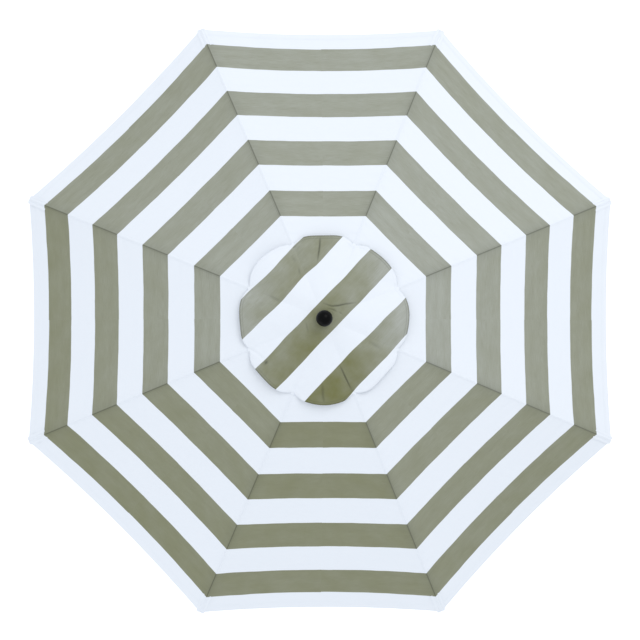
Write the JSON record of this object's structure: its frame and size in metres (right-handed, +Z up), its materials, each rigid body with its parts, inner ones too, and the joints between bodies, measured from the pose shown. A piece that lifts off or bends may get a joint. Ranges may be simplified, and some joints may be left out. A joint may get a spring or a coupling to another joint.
{
  "type": "market umbrella",
  "caption": "Octagonal patio market umbrella with a vented, tied-down top cap, ball finial, straight pole and crank lift.",
  "frame": {"origin": "centre of the pole's bottom end", "axes": "+Z up along the pole; straight hems face +X, +Y, -X and -Y and the diagonals; the crank faces -Y"},
  "size_m": [2.4482, 2.4482, 2.598],
  "materials": {
    "canopy_cloth": "woven, white with greige stripes",
    "cap_cloth": "woven, white with greige stripes",
    "pole_paint": "fine powder coat",
    "strut_paint": "fine powder coat",
    "crank_paint": "fine powder coat",
    "rib_glass": "pultruded fibreglass, black",
    "black_plastic": "moulded, fine grain",
    "pale_plastic": "acetal",
    "gloss_ball": "polished",
    "bright_steel": "zinc plated",
    "lift_cord": "braided"
  },
  "bodies": {
    "pole": {"pole_lower": "pole_paint", "pole_upper": "pole_paint", "joint_collar": "black_plastic", "pole_foot_plug": "black_plastic", "button_spring": "bright_steel", "crank_housing_front": "black_plastic", "crank_housing_back": "black_plastic", "crank_housing_screws": "bright_steel", "lift_cord": "lift_cord", "top_hub": "black_plastic", "hub_pins": "bright_steel", "finial": "gloss_ball", "vent_cap": "cap_cloth"},
    "snap_button": {"snap_button": "bright_steel"},
    "crank": {"crank_shaft": "bright_steel", "cord_spool": "pale_plastic", "crank_arm": "crank_paint"},
    "knob": {"crank_knob": "black_plastic"},
    "pulley": {"pulley": "pale_plastic"},
    "cord_end": {"cord_end": "bright_steel"},
    "rib_1": {"rib_1": "rib_glass", "rib_fittings_1": "black_plastic", "canopy_1": "canopy_cloth"},
    "rib_2": {"rib_2": "rib_glass", "rib_fittings_2": "black_plastic", "canopy_2": "canopy_cloth"},
    "rib_3": {"rib_3": "rib_glass", "rib_fittings_3": "black_plastic", "canopy_3": "canopy_cloth"},
    "rib_4": {"rib_4": "rib_glass", "rib_fittings_4": "black_plastic", "canopy_4": "canopy_cloth"},
    "rib_5": {"rib_5": "rib_glass", "rib_fittings_5": "black_plastic", "canopy_5": "canopy_cloth"},
    "rib_6": {"rib_6": "rib_glass", "rib_fittings_6": "black_plastic", "canopy_6": "canopy_cloth"},
    "rib_7": {"rib_7": "rib_glass", "rib_fittings_7": "black_plastic", "canopy_7": "canopy_cloth"},
    "rib_8": {"rib_8": "rib_glass", "rib_fittings_8": "black_plastic", "canopy_8": "canopy_cloth"},
    "strut_1": {"strut_1": "strut_paint"},
    "strut_2": {"strut_2": "strut_paint"},
    "strut_3": {"strut_3": "strut_paint"},
    "strut_4": {"strut_4": "strut_paint"},
    "strut_5": {"strut_5": "strut_paint"},
    "strut_6": {"strut_6": "strut_paint"},
    "strut_7": {"strut_7": "strut_paint"},
    "strut_8": {"strut_8": "strut_paint"},
    "runner": {"runner": "black_plastic", "runner_pins": "bright_steel"}
  },
  "joints": [
    {"name": "rib_1_fold", "type": "hinge", "parent": "pole", "child": "rib_1", "pos_m": [0.0388, 0.01607, 2.5], "axis": [-0.3827, 0.9239, 0], "range_deg": [0, 66], "deforming": ["canopy_1", "vent_cap", "lift_cord"]},
    {"name": "rib_2_fold", "type": "hinge", "parent": "pole", "child": "rib_2", "pos_m": [0.01607, 0.0388, 2.5], "axis": [-0.9239, 0.3827, 0], "range_deg": [0, 66], "deforming": ["canopy_2"]},
    {"name": "rib_3_fold", "type": "hinge", "parent": "pole", "child": "rib_3", "pos_m": [-0.01607, 0.0388, 2.5], "axis": [-0.9239, -0.3827, 0], "range_deg": [0, 66], "deforming": ["canopy_3"]},
    {"name": "rib_4_fold", "type": "hinge", "parent": "pole", "child": "rib_4", "pos_m": [-0.0388, 0.01607, 2.5], "axis": [-0.3827, -0.9239, 0], "range_deg": [0, 66], "deforming": ["canopy_4"]},
    {"name": "rib_5_fold", "type": "hinge", "parent": "pole", "child": "rib_5", "pos_m": [-0.0388, -0.01607, 2.5], "axis": [0.3827, -0.9239, 0], "range_deg": [0, 66], "deforming": ["canopy_5"]},
    {"name": "rib_6_fold", "type": "hinge", "parent": "pole", "child": "rib_6", "pos_m": [-0.01607, -0.0388, 2.5], "axis": [0.9239, -0.3827, 0], "range_deg": [0, 66], "deforming": ["canopy_6"]},
    {"name": "rib_7_fold", "type": "hinge", "parent": "pole", "child": "rib_7", "pos_m": [0.01607, -0.0388, 2.5], "axis": [0.9239, 0.3827, 0], "range_deg": [0, 66], "deforming": ["canopy_7"]},
    {"name": "rib_8_fold", "type": "hinge", "parent": "pole", "child": "rib_8", "pos_m": [0.0388, -0.01607, 2.5], "axis": [0.3827, 0.9239, 0], "range_deg": [0, 66], "deforming": ["canopy_8"]},
    {"name": "strut_1_swing", "type": "hinge", "parent": "rib_1", "child": "strut_1", "pos_m": [0.5623, 0.23291, 2.30268], "axis": [-0.3827, 0.9239, 0], "range_deg": [-132, 0]},
    {"name": "strut_2_swing", "type": "hinge", "parent": "rib_2", "child": "strut_2", "pos_m": [0.23291, 0.5623, 2.30268], "axis": [-0.9239, 0.3827, 0], "range_deg": [-132, 0]},
    {"name": "strut_3_swing", "type": "hinge", "parent": "rib_3", "child": "strut_3", "pos_m": [-0.23291, 0.5623, 2.30268], "axis": [-0.9239, -0.3827, 0], "range_deg": [-132, 0]},
    {"name": "strut_4_swing", "type": "hinge", "parent": "rib_4", "child": "strut_4", "pos_m": [-0.5623, 0.23291, 2.30268], "axis": [-0.3827, -0.9239, 0], "range_deg": [-132, 0]},
    {"name": "strut_5_swing", "type": "hinge", "parent": "rib_5", "child": "strut_5", "pos_m": [-0.5623, -0.23291, 2.30268], "axis": [0.3827, -0.9239, 0], "range_deg": [-132, 0]},
    {"name": "strut_6_swing", "type": "hinge", "parent": "rib_6", "child": "strut_6", "pos_m": [-0.23291, -0.5623, 2.30268], "axis": [0.9239, -0.3827, 0], "range_deg": [-132, 0]},
    {"name": "strut_7_swing", "type": "hinge", "parent": "rib_7", "child": "strut_7", "pos_m": [0.23291, -0.5623, 2.30268], "axis": [0.9239, 0.3827, 0], "range_deg": [-132, 0]},
    {"name": "strut_8_swing", "type": "hinge", "parent": "rib_8", "child": "strut_8", "pos_m": [0.5623, -0.23291, 2.30268], "axis": [0.3827, 0.9239, 0], "range_deg": [-132, 0]},
    {"name": "runner_lift", "type": "hinge", "parent": "strut_1", "child": "runner", "pos_m": [0.0388, 0.01607, 2.10536], "axis": [-0.3827, 0.9239, 0], "range_deg": [0, 66]},
    {"name": "crank_spin", "type": "hinge", "parent": "pole", "child": "crank", "pos_m": [0, 0, 0.95], "axis": [0, -1, 0], "range_deg": [0, 3825.3]},
    {"name": "knob_spin", "type": "hinge", "parent": "crank", "child": "knob", "pos_m": [0, -0.08, 0.85], "axis": [0, -1, 0], "continuous": true},
    {"name": "pulley_spin", "type": "hinge", "parent": "pole", "child": "pulley", "pos_m": [0.019, 0, 2.504], "axis": [0, 1, 0], "range_deg": [0, 6557.6]},
    {"name": "cord_travel", "type": "slide", "parent": "pole", "child": "cord_end", "axis": [0, 0, -1], "range_m": [0, 0.8012]},
    {"name": "button_press", "type": "slide", "parent": "pole", "child": "snap_button", "axis": [-1, 0, 0], "range_m": [0, 0.004], "stiffness_N_per_m": 900, "springref_m": -0.002, "deforming": ["button_spring"]}
  ],
  "couplings": [
    {"joint": "rib_2_fold", "follows": "rib_1_fold", "ratio": 1},
    {"joint": "rib_3_fold", "follows": "rib_1_fold", "ratio": 1},
    {"joint": "rib_4_fold", "follows": "rib_1_fold", "ratio": 1},
    {"joint": "rib_5_fold", "follows": "rib_1_fold", "ratio": 1},
    {"joint": "rib_6_fold", "follows": "rib_1_fold", "ratio": 1},
    {"joint": "rib_7_fold", "follows": "rib_1_fold", "ratio": 1},
    {"joint": "rib_8_fold", "follows": "rib_1_fold", "ratio": 1},
    {"joint": "strut_1_swing", "follows": "rib_1_fold", "ratio": -2},
    {"joint": "strut_2_swing", "follows": "rib_1_fold", "ratio": -2},
    {"joint": "strut_3_swing", "follows": "rib_1_fold", "ratio": -2},
    {"joint": "strut_4_swing", "follows": "rib_1_fold", "ratio": -2},
    {"joint": "strut_5_swing", "follows": "rib_1_fold", "ratio": -2},
    {"joint": "strut_6_swing", "follows": "rib_1_fold", "ratio": -2},
    {"joint": "strut_7_swing", "follows": "rib_1_fold", "ratio": -2},
    {"joint": "strut_8_swing", "follows": "rib_1_fold", "ratio": -2},
    {"joint": "runner_lift", "follows": "rib_1_fold", "ratio": 1},
    {"joint": "crank_spin", "follows": "rib_1_fold", "ratio": 57.958},
    {"joint": "pulley_spin", "follows": "rib_1_fold", "ratio": 99.356},
    {"joint": "cord_travel", "follows": "rib_1_fold", "m_per_rad": 0.69549}
  ]
}
